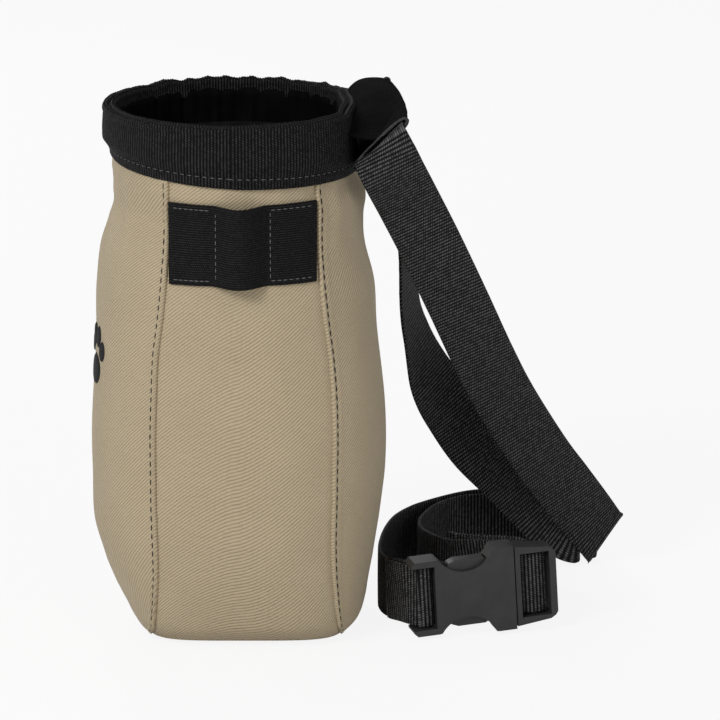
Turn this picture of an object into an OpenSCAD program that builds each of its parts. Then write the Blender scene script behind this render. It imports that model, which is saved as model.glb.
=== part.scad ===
// Treat pouch on a waist belt, standing upright with its buckle closed.
// +Z is up, the front faces -Y, the belt is at +Y, and the origin is the centre of the base.

/* [Pouch] */
// Height from the base to the top of the rim
pouch_h = 212; // [150:1:280]
// Outside diameter of the mouth
mouth_d = 104; // [90:1:130]
// How far the mouth's centre stands in front of the base's centre
mouth_shift = 4; // [0:1:8]
// Length of the base, front to back
base_l = 79; // [64:1:100]
// Width of the base, side to side
base_w = 68; // [54:1:84]
// Length of the belly, front to back
belly_l = 116; // [96:1:150]
// Width of the belly, side to side
belly_w = 102; // [84:1:130]
// Length of the neck under the rim, front to back
neck_l = 99; // [88:1:120]
// Width of the neck under the rim, side to side
neck_w = 97; // [84:1:120]
// Width of a side panel at the neck
side_top_w = 58; // [44:1:66]
// Width of a side panel at the base
side_base_w = 76; // [60:1:78]

/* [Fabric] */
// Thickness of the canvas
canvas_t = 1.2; // [0.8:0.1:2]
// Thickness of the lining
lining_t = 0.6; // [0.4:0.1:1]
// Thickness of the stiffener in the base
board_t = 1.6; // [1:0.1:3]
// Thickness of the stiffening strip in the rim
hoop_t = 0.8; // [0.6:0.1:1.2]

/* [Rim] */
// Height of the webbing band round the mouth
band_h = 24; // [18:1:32]
// Thickness of the webbing band
band_t = 1.4; // [1:0.1:2]
// Height of the facing inside the mouth
facing_h = 22; // [16:1:30]
// Thickness of the facing
facing_t = 1; // [0.6:0.1:1.6]

/* [Utility loop] */
// Width of the loop's webbing, along the pouch's height
loop_w = 32; // [24:1:40]
// Height of the loop's middle above the base
loop_z = 166; // [156:1:172]
// Length of the loop's free middle
loop_free = 22; // [18:1:28]
// How far the free middle stands off the panel
loop_rise = 7; // [5.5:0.5:10]

/* [Belt] */
// Width of the belt's webbing
belt_w = 25; // [20:1:30]
// Thickness of the belt's webbing
belt_t = 1.4; // [1.1:0.1:1.6]
// Length of the sleeve that the belt runs through
sleeve_l = 50; // [36:1:60]
// Thickness of the sleeve's fabric
sleeve_t = 0.9; // [0.6:0.1:1.4]
// How far the sleeve leans away from the rim at the right end, in degrees
lean_right = 45; // [30:1:55]
// How far the sleeve leans away from the rim at the left end, in degrees
lean_left = 26; // [20:1:55]

/* [Buckle] */
// Length of the socket
socket_l = 42.5; // [40:0.5:50]
// Length of the plug's frame, which stays outside the socket
frame_l = 17; // [16:0.5:22]
// Thickness of the buckle
buckle_t = 10; // [9:0.5:13]
// Diameter of the bars that the webbing turns round
bar_d = 2.6; // [2:0.1:3]

/* [Hidden] */
$fn = 48;

khaki = "#b09c7c";
black = "#1c1c1e";
nylon = "#101012";
plastic = "#3a3a3c";

// Clearances between layers of fabric, and between pieces on different bodies
ply_gap = 0.2;
run_gap = 0.35;
// Half the gap between two panels at a seam, in degrees round the pouch
seam_gap = 0.35;

function mix(a, b, k) = a + (b - a) * k;
function unit(v) = v / norm(v);
function place(v) = [v[0], v[1], v[2]];
function signed_power(v, e) = sign(v) * pow(abs(v), e);

// The value at s of a smooth curve through the stops, where stop i is at s = i
function curve(stops, s) =
    let (
        n = len(stops) - 1,
        i = max(0, min(floor(s), n - 1)),
        u = s - i,
        b = stops[i],
        c = stops[i + 1],
        a = i > 0 ? stops[i - 1] : 2 * b - c,
        d = i + 2 <= n ? stops[i + 2] : 2 * c - b
    )
    b + 0.5 * u * (c - a + u * (2 * a - 5 * b + 4 * c - d + u * (3 * (b - c) + d - a)));

// A closed solid through rings that turn anticlockwise as seen from ahead of the sweep. A ring has
// 2 m points, and its point i faces point 2 m - 1 - i across it
module skin(rings) {
    n = len(rings[0]);
    m = n / 2;
    last = (len(rings) - 1) * n;
    sides = [
        for (r = [0 : len(rings) - 2], i = [0 : n - 1])
            let (a = r * n + i, b = r * n + (i + 1) % n)
            each [[a, b + n, b], [a, a + n, b + n]]
    ];
    caps = [
        for (i = [0 : m - 2])
            let (j = n - 1 - i)
            each [
                [i, j - 1, j], [i, i + 1, j - 1],
                [last + i, last + j, last + j - 1], [last + i, last + j - 1, last + i + 1]
            ]
    ];
    polyhedron(points = [for (ring = rings, p = ring) p], faces = concat(sides, caps));
}

// ---- The pouch's outline ----

function body_l(k) = mix(base_l, belly_l, k) / 2;
function body_w(k) = mix(base_w, belly_w, k) / 2;
function upper_l(k) = mix(neck_l, belly_l, k) / 2;
function upper_w(k) = mix(neck_w, belly_w, k) / 2;
function side_w(k) = mix(side_top_w, side_base_w, k) / 2;
mouth_r = mouth_d / 2;
under_band = mouth_r - band_t - ply_gap;

// Share of the height, half length, half width, how far the centre is forward as a share of
// mouth_shift, squareness, and half the side panel's width
STATIONS = [
    [0, body_l(0), body_w(0), 0, 4.5, side_w(1)],
    [0.028, body_l(0.42), body_w(0.42), 0.1, 3.9, side_w(0.97)],
    [0.061, body_l(0.59), body_w(0.59), 0.25, 3.5, side_w(0.85)],
    [0.094, body_l(0.71), body_w(0.71), 0.5, 3.2, side_w(0.75)],
    [0.142, body_l(0.85), body_w(0.85), 0.75, 3, side_w(0.65)],
    [0.212, body_l(0.97), body_w(0.97), 0.95, 2.8, side_w(0.6)],
    [0.307, body_l(1), body_w(1), 0.75, 2.7, side_w(0.65)],
    [0.425, upper_l(1), upper_w(1), 0.8, 2.6, side_w(0.65)],
    [0.561, upper_l(0.77), upper_w(0.77), 0.87, 2.4, side_w(0.5)],
    [0.66, upper_l(0.65), upper_w(0.65), 0.87, 2.3, side_w(0.2)],
    [0.736, upper_l(0.3), upper_w(0.4), 1.15, 2.2, side_w(0.05)],
    [0.792, upper_l(0.05), upper_w(0.1), 0.85, 2.1, side_w(0)],
    [0.825, upper_l(0), upper_w(0), 0.55, 2, side_w(0)],
    [0.872, under_band, under_band, 1, 2, side_w(0)],
    [1, under_band, under_band, 1, 2, side_w(0)]
];

// Half length, half width, centre, squareness and half side panel at a height
function level(z) =
    let (
        t = z / pouch_h,
        s = lookup(t, [for (i = [0 : len(STATIONS) - 1]) [STATIONS[i][0], i]]),
        v = curve(STATIONS, s)
    )
    z >= (pouch_h - band_h) ? [under_band, under_band, -mouth_shift, 2, v[5]]
        : [v[1], v[2], -mouth_shift * v[3], v[4], v[5]];

// The point of the wall at an angle from +X, moved in by inset
function on_wall(z, angle, inset) =
    let (l = level(z), e = 2 / l[3])
    [
        (l[1] - inset) * signed_power(cos(angle), e),
        l[2] + (l[0] - inset) * signed_power(sin(angle), e),
        z
    ];

// The wall's reach along +X at a place y
function wall_x(y, z) =
    let (l = level(z))
    l[1] * pow(1 - pow(abs(y - l[2]) / l[0], l[3]), 1 / l[3]);

// The angle of the fold between a side panel and the front (side = -1) or the back (side = 1)
function fold(z, side) =
    let (l = level(z))
    asin(pow((l[4] - side * l[2]) / l[0], l[3] / 2));

panel_top = pouch_h - 7;
band_z = pouch_h - band_h;
PANEL_LEVELS = [
    0, 3, 6, 10, 15, 21, 30, 42, 58, 76, 96, 116, 134, 148, 158, 168, 176
];
SHARES = [for (z = PANEL_LEVELS) z * (band_z - 4) / 184];
LEVELS = concat(SHARES, [band_z, mix(band_z, panel_top, 0.5), panel_top]);

// A panel of canvas between two folds, each of them a function that gives an angle at a height
module panel(steps, from, to) skin([
    for (z = LEVELS)
        let (a = from(z) + seam_gap, b = to(z) - seam_gap)
        concat(
            [for (i = [0 : steps]) on_wall(z, mix(a, b, i / steps), 0)],
            [for (i = [steps : -1 : 0]) on_wall(z, mix(a, b, i / steps), canvas_t)]
        )
]);

module front_panel() color(khaki)
    panel(14, function(z) 180 + fold(z, -1), function(z) 360 - fold(z, -1));
module back_panel() color(khaki)
    panel(14, function(z) fold(z, 1), function(z) 180 - fold(z, 1));
module right_side_panel() color(khaki)
    panel(12, function(z) -fold(z, -1), function(z) fold(z, 1));
module left_side_panel() color(khaki)
    panel(12, function(z) 180 - fold(z, 1), function(z) 180 + fold(z, -1));

// A flat sheet inside the foot of the wall
module floor_sheet(z, inset, thick) {
    outline = [for (a = [0 : 7.5 : 352.5]) let (p = on_wall(0, a, inset)) [p.x, p.y]];
    translate([0, 0, z]) linear_extrude(thick) polygon(outline);
}

module base_panel() color(khaki) floor_sheet(0, canvas_t + ply_gap, canvas_t);
board_z = canvas_t + ply_gap;
module base_board() color(nylon) floor_sheet(board_z, canvas_t + 3 * ply_gap, board_t);

// The lining hangs inside the rim's stiffening strip
lining_in = canvas_t + hoop_t + 2 * ply_gap;
lining_z = board_z + board_t + ply_gap;
lining_top = pouch_h - 3;

// The solid inside the wall, from one height to another
module inside_wall(from, to, inset) {
    middle = [for (z = LEVELS) if (z > from + 1 && z < to - 1) z];
    skin([
        for (z = concat([from], middle, [to]))
            [for (a = [0 : 10 : 350]) on_wall(z, a, inset)]
    ]);
}

module lining() color(nylon) difference() {
    inside_wall(lining_z, lining_top, lining_in);
    inside_wall(lining_z + lining_t, lining_top + 1, lining_in + lining_t);
}

// ---- The rim ----

// A ring round the mouth, between two heights and inward from a radius
module mouth_ring(from, to, radius, thick) {
    translate([0, -mouth_shift, from])
        rotate_extrude($fn = 96)
            translate([radius - thick, 0]) square([thick, to - from]);
}

hoop_r = under_band - canvas_t - ply_gap;
facing_r = under_band - lining_in - lining_t - ply_gap;
facing_top = pouch_h + 1;
module rim_band() color(black) mouth_ring(band_z, pouch_h, mouth_r, band_t);
module rim_hoop() color(plastic) mouth_ring(band_z + 3, pouch_h - 2, hoop_r, hoop_t);
module rim_facing() color(nylon)
    mouth_ring(facing_top - facing_h, facing_top, facing_r, facing_t);

// ---- The utility loop on the right side panel ----

loop_mid_y = -1;
loop_half = side_top_w / 2 - 0.5;
loop_z_steps = 6;

// How far the webbing stands off the panel at a place y
function loop_lift(y) =
    let (u = abs(y - loop_mid_y) / (loop_free / 2))
    u < 1 ? loop_rise * pow(cos(90 * u), 1.3) : 0;

function loop_point(y, z, off) = [wall_x(y, z) + 0.6 + loop_lift(y) + off, y, z];

module utility_loop() color(black) skin([
    for (i = [0 : 32])
        let (y = mix(loop_half, -loop_half, i / 32))
        concat(
            [for (j = [0 : loop_z_steps])
                loop_point(y, loop_z + loop_w * (j / loop_z_steps - 0.5), 0)],
            [for (j = [loop_z_steps : -1 : 0])
                loop_point(y, loop_z + loop_w * (j / loop_z_steps - 0.5), belt_t)]
        )
]);

// ---- The sleeve and the belt inside it ----

slot_w = belt_w + 2;
slot_t = belt_t + 1;
sleeve_w = slot_w + 2 * sleeve_t;
sleeve_thick = slot_t + 2 * sleeve_t;
sleeve_z = pouch_h - 20;
sleeve_half = sleeve_l / 2;

function lean(x) = mix(lean_left, lean_right, (x + sleeve_half) / sleeve_l);
// The directions across the belt, and out through its face, in the sleeve
function belt_across(x) = [0, sin(lean(x)), cos(lean(x))];
function belt_out(x) = [0, cos(lean(x)), -sin(lean(x))];
// The sleeve's lower inner edge, just clear of the rim band
function sleeve_edge(x) = [x, sqrt(pow(mouth_r + run_gap, 2) - x * x) - mouth_shift, sleeve_z];
function belt_middle(x) =
    sleeve_edge(x) + belt_across(x) * sleeve_w / 2 + belt_out(x) * sleeve_thick / 2;

function box_ring(middle, across, out, w, t) = [
    for (c = [[-1, -1], [1, -1], [1, 1], [-1, 1]])
        middle + across * c[0] * w / 2 + out * c[1] * t / 2
];

module sleeve_run(w, t, reach) skin([
    for (i = [0 : 12])
        let (x = mix(sleeve_half + reach, -sleeve_half - reach, i / 12))
        box_ring(belt_middle(x), belt_across(x), belt_out(x), w, t)
]);

module belt_sleeve() color(nylon) difference() {
    sleeve_run(sleeve_w, sleeve_thick, 0);
    sleeve_run(slot_w, slot_t, 1);
}

module belt_in_sleeve() color(black) sleeve_run(belt_w, belt_t, 0);

// ---- The belt outside the sleeve ----

// Each stop is a place on the belt's middle line, the direction across its width, and how far
// that direction may slant along the belt, from 0 for square to 1 for the slant of a fold
function ribbon_ring(stops, s, w, t) =
    let (
        n = len(stops) - 1,
        here = curve(stops, s),
        along = unit(place(curve(stops, min(s + 0.02, n)) - curve(stops, max(s - 0.02, 0)))),
        rough = [here[3], here[4], here[5]],
        square = rough - along * (rough * along),
        across = (square + along * (rough * along) * max(0, min(1, here[6]))) / norm(square)
    )
    box_ring(place(here), across, cross(along, unit(square)), w, t);

// The stretch of a route between two of its stops
module ribbon(stops, from, to, w = belt_w, t = belt_t, per_stop = 4) {
    n = (to - from) * per_stop;
    color(black) skin([for (i = [0 : n]) ribbon_ring(stops, from + i / per_stop, w, t)]);
}

// The belt lies on its edge where it is on the floor
floor_z = belt_w / 2 + 0.1;
// What moves the belt when the pouch grows: its ends follow the sleeve, the rest the belly
exit_right = belt_middle(sleeve_half);
exit_left = belt_middle(-sleeve_half);
back_shift = (belly_l - 116) / 2;
drop_right = (exit_right.z - floor_z) / 188;
drop_left = (exit_left.z - floor_z) / 191.5;

// A hanging stop: its height above the floor run follows the sleeve's
function hung(p, drop) =
    [p[0], p[1] + back_shift, floor_z + p[2] * drop, p[3], p[4], p[5], 0];
// A stop beside the sleeve's end
function beside(at, p) = [at.x + p[0], at.y + p[1], at.z + p[2], p[3], p[4], p[5], 0];
// A stop on the floor, where the belt stands on its edge
function on_floor(p) = [p[0], p[1] + back_shift, floor_z, 0, 0, 1, 0];
// A stop where the belt has risen a share of the way to a bar of the buckle
function rising(p, share, bar) =
    mix(on_floor(p), [p[0], p[1] + back_shift, bar[2], bar[3], bar[4], bar[5], 0], share);

right_across = belt_across(sleeve_half);
left_across = belt_across(-sleeve_half);

// From the sleeve's right end down to the floor, back along it and round to the socket
FRONT_TOP = [
    [run_gap, 0, 0, 0, right_across.y, right_across.z],
    [2, 0, 0, 0, right_across.y, right_across.z],
    [4, 0, 0, 0, right_across.y, right_across.z],
    [6.4, 2.2, -4.5, 0, 0.76, 0.65],
    [4.2, 5.6, -12, 0, 0.84, 0.54]
];
FRONT_HANG = [
    [20, 65, 163, 0, 0.89, 0.45],
    [10, 73.5, 144, 0, 0.89, 0.45],
    [-2, 85, 117, 0, 0.89, 0.45],
    [-15, 95.6, 91, 0, 0.87, 0.49],
    [-27, 105, 70, 0, 0.85, 0.52],
    [-42, 119, 44, 0, 0.77, 0.64],
    [-52, 129, 28, 0.02, 0.74, 0.67]
];
// The front strip folds back near the floor: the fold's middle, the direction of its crease, and
// the directions in and out of the turn across the crease
fold_at = [-68.6, 146.6 + back_shift, 13.4];
crease = unit([0.383, 0.453, 0.804]);
fold_in = unit([-0.289, 0.882, -0.364]);
fold_out = unit([-0.878, -0.092, 0.47]);
fold_r = 2.4;
FRONT_FOLD = [
    for (a = [0 : 30 : 90])
        let (
            p = fold_at + fold_r * (fold_in * sin(a) + fold_out * (1 - cos(a)))
                - crease * fold_r * a / 100
        )
        [p.x, p.y, p.z, crease.x, crease.y, crease.z, 1]
];
FRONT_FLOOR = [
    [-82.5, 144.5], [-91.5, 138.5], [-97, 129], [-99, 118], [-98, 104], [-93.5, 90], [-83, 77], [-72, 67.3],
    [-59, 60.5], [-43.5, 56.5], [-26, 54.2], [-10, 53.6]
];
FRONT_FOOT = len(FRONT_TOP) + len(FRONT_HANG) + 2;
FRONT_END = len(FRONT_TOP) + len(FRONT_HANG) + len(FRONT_FOLD) + len(FRONT_FLOOR) + 1;

// From the sleeve's left end down to the floor, back along it and round behind the buckle
REAR_TOP = [
    [-run_gap, 0, 0, 0, left_across.y, left_across.z],
    [-3, 0, 0, 0, left_across.y, left_across.z],
    [-6, 0.3, -0.4, 0, left_across.y, left_across.z],
    [-9.5, 3, -4.5, -0.1, 0.66, 0.75],
    [-11.2, 7.5, -11.5, -0.45, 0.8, 0.4]
];
REAR_HANG = [
    [-37, 63.5, 166, -0.8, 0.55, 0.15],
    [-38.5, 66, 138, -0.9, 0.4, 0.12],
    [-40, 67, 109, -0.92, 0.37, 0.12],
    [-44, 70.3, 91, -0.87, 0.47, 0.15],
    [-49, 75.4, 74, -0.68, 0.7, 0.25],
    [-55, 84, 58, -0.3, 0.85, 0.45],
    [-60, 94.6, 41, 0, 0.78, 0.63],
    [-65, 106, 28, 0, 0.72, 0.69],
    [-68.5, 116, 16.5, 0, 0.7, 0.72],
    [-69.5, 123, 9, 0, 0.62, 0.78],
    [-69.8, 128.5, 4, 0.05, 0.45, 0.9],
    [-70.4, 131.9, 1.2, 0.05, 0.2, 1],
    [-72.4, 134.3, 0, 0, 0, 1],
    [-76, 134.6, 0, 0, 0, 1]
];
REAR_FLOOR = [
    [-80, 131.5], [-84.5, 124.6], [-88, 115.5], [-89.5, 103], [-86.5, 88], [-75, 77.5],
    [-60, 71.8], [-50, 70], [-40, 71.2], [-30, 76.4], [-22.8, 83.8]
];
REAR_RISE = [
    [-17, 93.1, 0.3], [-10.5, 102.2, 0.6], [-4.6, 107.9, 0.9], [-1.1, 109.8, 1], [1.5, 110.3, 1]
];
REAR_FOOT = len(REAR_TOP) + 12;
REAR_END = len(REAR_TOP) + len(REAR_HANG) + len(REAR_FLOOR) + len(REAR_RISE) - 1;

// ---- The buckle ----

// Its own x runs from the socket's end to the plug's, and its own z runs across the belt
buckle_at = [25.1, 66.5 + back_shift, 0];
buckle_turn = 104;
buckle_h = belt_w + 10;
mid_z = buckle_h / 2;
// The socket's narrow end and its mouth both rest on the floor, which tips the buckle
socket_step = 2;
mouth_l = 7;
corner_r = 1.5;
buckle_tip = atan(socket_step / (socket_l - mouth_l - corner_r));
buckle_lift = 0.1 - (socket_l - mouth_l) * sin(buckle_tip);

module in_buckle()
    translate(buckle_at + [0, 0, buckle_lift])
        rotate([0, -buckle_tip, buckle_turn]) children();

// An outline in x and z, as thick as stated
module slab(outline, thick) {
    rotate([90, 0, 0]) translate([0, 0, -thick / 2]) linear_extrude(thick) polygon(outline);
}

function mirrored(outline) = [for (i = [len(outline) - 1 : -1 : 0])
    [outline[i][0], buckle_h - outline[i][1]]];

wall = 1.8;
cavity_t = buckle_t - 2 * wall;
cavity_h = buckle_h - 8;
slot_to = 9.6;
recess_x = 22.3;
recess_r = 12.85;
recess_deep = 8;
narrow_h = buckle_h - socket_step;
SOCKET_HALF = [
    [0, mid_z], [0, narrow_h - corner_r], [corner_r, narrow_h], [10.5, narrow_h],
    [recess_x, narrow_h - 2], [socket_l - mouth_l - 2, buckle_h - 0.2], [socket_l - mouth_l, buckle_h],
    [socket_l, buckle_h], [socket_l, mid_z]
];

module recess() {
    for (z = [buckle_h - recess_deep + recess_r, recess_deep - recess_r])
        translate([recess_x, 0, z]) rotate([90, 0, 0])
            cylinder(r = recess_r, h = buckle_t + 2, center = true, $fn = 96);
}

module bar(x, y) {
    translate([x, y, 3.4]) cylinder(d = bar_d, h = buckle_h - 6.8);
}

module buckle_socket() color(plastic) in_buckle() {
    difference() {
        slab(concat(SOCKET_HALF, mirrored(SOCKET_HALF)), buckle_t);
        recess();
        translate([12, -cavity_t / 2, mid_z - cavity_h / 2]) cube([socket_l, cavity_t, cavity_h]);
        translate([-1, -buckle_t, 4.5]) cube([slot_to + 1, 2 * buckle_t, buckle_h - 9]);
    }
    bar(bar_at, 0);
}

bar_at = 5;

frame_x = socket_l + 0.5;
frame_end = frame_x + frame_l;
window_from = frame_x + 2.2;
window_to = frame_end - 2.8;
middle_bar = frame_x + 7.6;
FRAME = [
    [frame_x, 0.8], [frame_end - 3, 2.4], [frame_end - 1, 3.6], [frame_end, 5],
    [frame_end, buckle_h - 5], [frame_end - 1, buckle_h - 3.6], [frame_end - 3, buckle_h - 2.4],
    [frame_x, buckle_h - 0.8]
];
guide_h = 6;
guide_t = 3.6;
guide_tip = 16;

module buckle_plug() color(plastic) in_buckle() {
    difference() {
        slab(FRAME, buckle_t - 1);
        translate([window_from, -buckle_t, 4.2])
            cube([window_to - window_from, 2 * buckle_t, buckle_h - 8.4]);
    }
    bar(middle_bar, 0.6);
    translate([guide_tip, -guide_t / 2, mid_z - guide_h / 2])
        cube([frame_x - guide_tip + 0.5, guide_t, guide_h]);
}

// A springy arm: a slender beam from the frame and a head that fills the socket's side window
arm_t = cavity_t - 0.8;
arm_root = frame_x - 0.55;
arm_z = mid_z + 8.2;
arm_top = mid_z + cavity_h / 2 + 0.4;
head_from = 14.8;
head_to = 31.2;
ARM = [
    [arm_root, arm_z - 1.4], [arm_root, arm_z + 1.6], [head_to + 0.6, arm_z + 3.4],
    [head_to, arm_top - 0.6], [head_to - 1, arm_top], [head_from + 4, arm_top],
    [head_from + 1, arm_top - 1.2], [head_from, arm_z + 2], [head_from + 1.2, arm_z - 0.4],
    [head_to, arm_z]
];

module upper_release_arm() color(plastic) in_buckle() slab(ARM, arm_t);
module lower_release_arm() color(plastic) in_buckle() slab(mirrored(ARM), arm_t);

// ---- The webbing at the buckle's bars ----

// A stop at the belt's middle in the buckle, from its distances along and behind the buckle
function at_buckle(x, y) =
    let (
        run = x * cos(buckle_tip) - mid_z * sin(buckle_tip),
        up = x * sin(buckle_tip) + mid_z * cos(buckle_tip) + buckle_lift,
        lean = -sin(buckle_tip)
    )
    [
        buckle_at.x + run * cos(buckle_turn) - y * sin(buckle_turn),
        buckle_at.y + run * sin(buckle_turn) + y * cos(buckle_turn),
        up, lean * cos(buckle_turn), lean * sin(buckle_turn), cos(buckle_tip), 0
    ];
// A stop on a turn round a bar, by its heading on the floor
function round_bar(x, y, heading) =
    let (c = at_buckle(x, y), r = (bar_d + belt_t) / 2 + 0.35)
    [c[0] + r * cos(heading), c[1] + r * sin(heading), c[2], c[3], c[4], c[5], 0];
socket_bar = at_buckle(bar_at, 0);
plug_bar = at_buckle(middle_bar, 0.6);

// The front route goes on round the socket's bar and ends where it is sewn back to itself
FRONT_ROUTE = concat(
    [for (p = FRONT_TOP) beside(exit_right, p)],
    [for (p = FRONT_HANG) hung(p, drop_right)],
    FRONT_FOLD,
    [for (p = FRONT_FLOOR) on_floor(p)],
    [for (p = [[2.2, 56.3, 0.15], [8.5, 60.6, 0.5], [14.1, 65.1, 0.8], [19, 68.7, 1]])
        rising(p, p[2], socket_bar)],
    [for (a = [124 : -36 : -56]) round_bar(bar_at, 0, a)],
    [for (p = [[21.7, 64.1, 1], [17.6, 61.3, 0.9], [13.4, 58.4, 0.75], [10.7, 56.7, 0.65]])
        rising(p, p[2], socket_bar)]
);
module belt_front_strip() ribbon(FRONT_ROUTE, 0, FRONT_FOOT);
module belt_outer_loop() ribbon(FRONT_ROUTE, FRONT_FOOT, FRONT_END);
module socket_strap_wrap() ribbon(FRONT_ROUTE, FRONT_END, len(FRONT_ROUTE) - 1);

REAR_ROUTE = concat(
    [for (p = REAR_TOP) beside(exit_left, p)],
    [for (p = REAR_HANG) hung(p, drop_left)],
    [for (p = REAR_FLOOR) on_floor(p)],
    [for (p = REAR_RISE) rising(p, p[2], plug_bar)]
);
module belt_rear_strip() ribbon(REAR_ROUTE, 0, REAR_FOOT);
module belt_inner_loop() ribbon(REAR_ROUTE, REAR_FOOT, REAR_END);

// The belt goes on over the plug's middle bar, and its tail lies back behind the buckle
PLUG_TURN = concat(
    [for (p = [[2.3, 110.5], [4.5, 110.6]]) rising(p, 1, plug_bar)],
    [at_buckle(middle_bar - 2.6, 6)],
    [at_buckle(middle_bar - 2.45, 3.4)],
    [for (a = [-72 : 36 : 108]) round_bar(middle_bar, 0.6, a)],
    [at_buckle(middle_bar + 2.45, 3.6)],
    [at_buckle(middle_bar + 2, 7)]
);
TAIL = [
    [-0.2, 115.2, 1], [-6.4, 111.6, 1], [-12.7, 104.7, 0.8], [-19.5, 94.8, 0.5],
    [-24.4, 87.3, 0.35], [-26.3, 84.6, 0.35], [-28.1, 81.9, 0.35]
];
PLUG_ROUTE = concat(PLUG_TURN, [for (p = TAIL) rising(p, p[2], plug_bar)]);
TAIL_START = len(PLUG_TURN);
module plug_strap_wrap() ribbon(PLUG_ROUTE, 0, TAIL_START);
module belt_tail() ribbon(PLUG_ROUTE, TAIL_START, TAIL_START + 4);
module tail_hem() ribbon(PLUG_ROUTE, TAIL_START + 4, TAIL_START + 6, t = 2 * belt_t);

front_panel();
back_panel();
right_side_panel();
left_side_panel();
base_panel();
base_board();
lining();
rim_band();
rim_hoop();
rim_facing();
utility_loop();
belt_sleeve();
belt_in_sleeve();
belt_front_strip();
belt_rear_strip();
belt_outer_loop();
belt_inner_loop();
socket_strap_wrap();
buckle_socket();
buckle_plug();
plug_strap_wrap();
belt_tail();
tail_hem();
upper_release_arm();
lower_release_arm();
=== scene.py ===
"""A khaki treat pouch with a webbing rim and a waist belt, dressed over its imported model.

Shapes are worked out in millimetres and placed in metres. The front faces -Y and +Z is up.
"""

from math import asin, atan, atan2, cos, degrees, exp, floor, hypot, pi, radians, sin, sqrt

import bmesh
import bpy
from mathutils import Matrix, Vector, noise


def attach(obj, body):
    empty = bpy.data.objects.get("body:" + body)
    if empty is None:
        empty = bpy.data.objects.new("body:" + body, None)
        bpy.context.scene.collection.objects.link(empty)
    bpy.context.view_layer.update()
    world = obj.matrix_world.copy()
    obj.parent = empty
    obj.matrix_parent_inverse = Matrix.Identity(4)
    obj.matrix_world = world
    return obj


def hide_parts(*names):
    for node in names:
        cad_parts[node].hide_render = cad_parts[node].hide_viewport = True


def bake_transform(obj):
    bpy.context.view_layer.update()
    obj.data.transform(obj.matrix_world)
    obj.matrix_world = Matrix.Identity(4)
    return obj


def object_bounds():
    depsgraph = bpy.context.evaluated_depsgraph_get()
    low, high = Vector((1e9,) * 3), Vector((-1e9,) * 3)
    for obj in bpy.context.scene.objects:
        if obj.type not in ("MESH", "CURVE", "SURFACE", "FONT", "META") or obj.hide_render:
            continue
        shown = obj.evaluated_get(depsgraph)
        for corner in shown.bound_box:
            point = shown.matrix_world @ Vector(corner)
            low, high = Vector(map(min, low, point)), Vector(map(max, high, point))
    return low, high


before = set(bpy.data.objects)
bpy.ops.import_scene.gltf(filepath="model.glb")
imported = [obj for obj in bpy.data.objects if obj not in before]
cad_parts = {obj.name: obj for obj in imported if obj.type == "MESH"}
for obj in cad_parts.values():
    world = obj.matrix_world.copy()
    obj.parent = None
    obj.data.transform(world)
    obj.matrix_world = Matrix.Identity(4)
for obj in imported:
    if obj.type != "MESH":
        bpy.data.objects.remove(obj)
cad_low, cad_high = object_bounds()
MM = 0.001


# ---- Numbers that fade and curves that run through stops ----


def mix(a, b, k):
    return a + (b - a) * k


def ease(edge0, edge1, x):
    """0 before edge0, 1 after edge1, and smooth between them."""
    t = min(1.0, max(0.0, (x - edge0) / (edge1 - edge0)))
    return t * t * (3 - 2 * t)


def signed_power(v, e):
    return (1 if v >= 0 else -1) * abs(v) ** e


def curve(stops, s):
    """The value at s of a smooth curve through the stops, where stop i is at s = i."""
    n = len(stops) - 1
    i = max(0, min(int(floor(s)), n - 1))
    u = s - i
    b, c = stops[i], stops[i + 1]
    a = stops[i - 1] if i > 0 else [2 * p - q for p, q in zip(b, c)]
    d = stops[i + 2] if i + 2 <= n else [2 * q - p for p, q in zip(b, c)]
    return [
        q + 0.5 * u * (r - p + u * (2 * p - 5 * q + 4 * r - t + u * (3 * (q - r) + t - p)))
        for p, q, r, t in zip(a, b, c, d)
    ]


def wobble(x, y, z, seed):
    """Smooth noise from -1 to 1 at a place given in its own wavelengths."""
    return noise.noise(Vector((x + 17.3 * seed, y - 9.1 * seed, z + 4.7 * seed)))


# ---- The outline of the pouch ----

POUCH_H = 212
MOUTH_R = 52
MOUTH_SHIFT = 4
BAND_Z = 188
UNDER_BAND = 50.4
CANVAS_T = 1.0

# Height, half length, half width, centre along Y, squareness, half the side panel's width
STATIONS = [
    [0, 39.5, 34, 0, 4.5, 38],
    [5.94, 47.27, 41.14, -0.4, 3.9, 37.73],
    [12.93, 50.42, 44.03, -1, 3.5, 36.65],
    [19.93, 52.64, 46.07, -2, 3.2, 35.75],
    [30.1, 55.23, 48.45, -3, 3, 34.85],
    [44.94, 57.45, 50.49, -3.8, 2.8, 34.4],
    [65.08, 58, 51, -3, 2.7, 34.85],
    [90.1, 58, 51, -3.2, 2.6, 34.85],
    [118.93, 56.05, 50.43, -3.48, 2.4, 33.5],
    [139.92, 55.03, 50.13, -3.48, 2.3, 30.8],
    [156.03, 52.05, 49.5, -4.6, 2.2, 29.45],
    [167.9, 49.93, 48.75, -3.4, 2.1, 29],
    [174.9, 49.5, 48.5, -2.2, 2, 29],
    [184.86, 50.4, 50.4, -4, 2, 29],
    [212, 50.4, 50.4, -4, 2, 29],
]
HEIGHTS = [station[0] for station in STATIONS]


def level(z):
    """Half length, half width, centre, squareness and half side panel at a height."""
    i = 0
    while i < len(HEIGHTS) - 2 and z > HEIGHTS[i + 1]:
        i += 1
    s = i + (z - HEIGHTS[i]) / (HEIGHTS[i + 1] - HEIGHTS[i])
    found = curve(STATIONS, s)
    if z >= BAND_Z:
        return [UNDER_BAND, UNDER_BAND, -MOUTH_SHIFT, 2, found[5]]
    return found[1:]


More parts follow.
